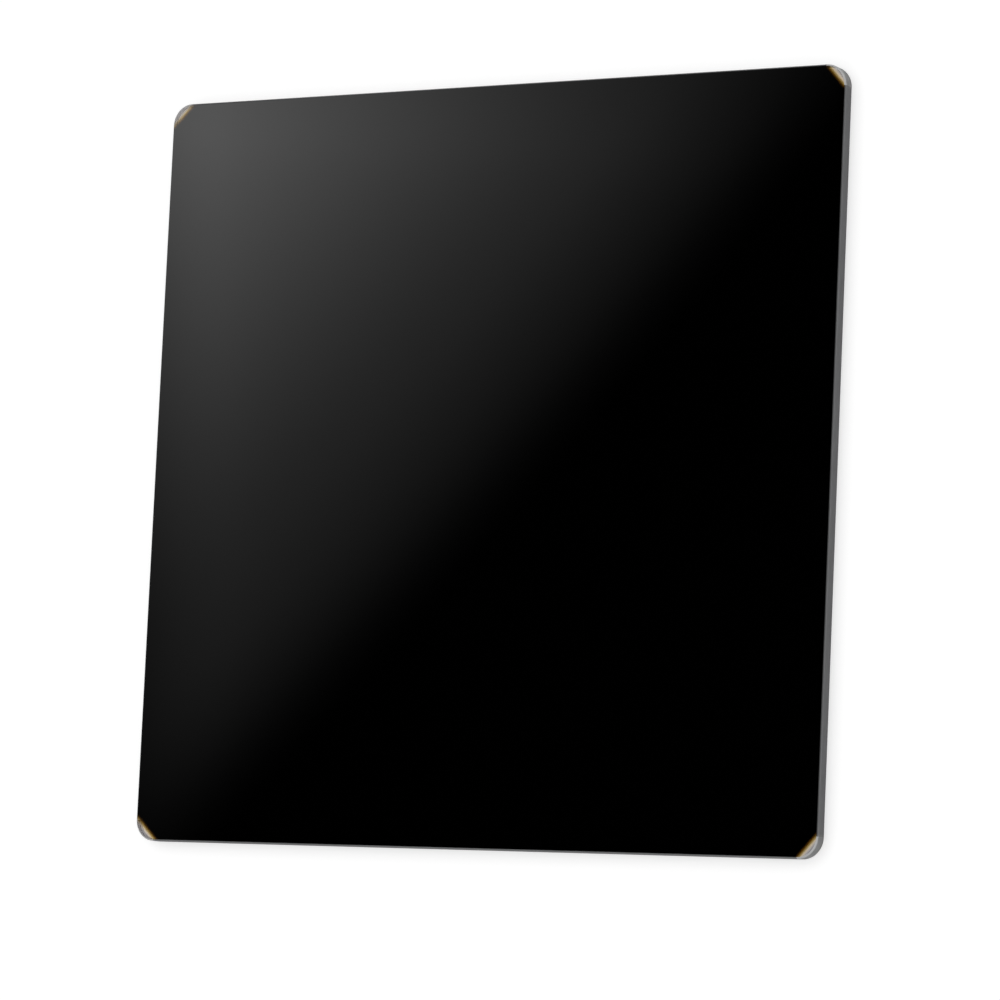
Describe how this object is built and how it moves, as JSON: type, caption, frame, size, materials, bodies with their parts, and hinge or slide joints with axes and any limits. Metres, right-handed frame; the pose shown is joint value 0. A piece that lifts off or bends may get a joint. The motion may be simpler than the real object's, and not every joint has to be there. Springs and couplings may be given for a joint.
{
  "type": "square neutral density filter",
  "caption": "Square glass neutral density filter plate for a slot-in lens filter holder: black mirror-smooth coated face, clear rounded corners, ground edges with a fine arris.",
  "frame": {"origin": "centre of the plain back face, which the plate lies on", "axes": "+Z out of the coated front face, X and Y along the plate's sides"},
  "size_m": [0.1, 0.1, 0.002],
  "materials": {
    "coated_glass": "polished optical glass under a black vacuum coating, with satin ground edges and clear corners"
  },
  "bodies": {
    "root": {"glass_plate": "coated_glass"}
  },
  "joints": []
}
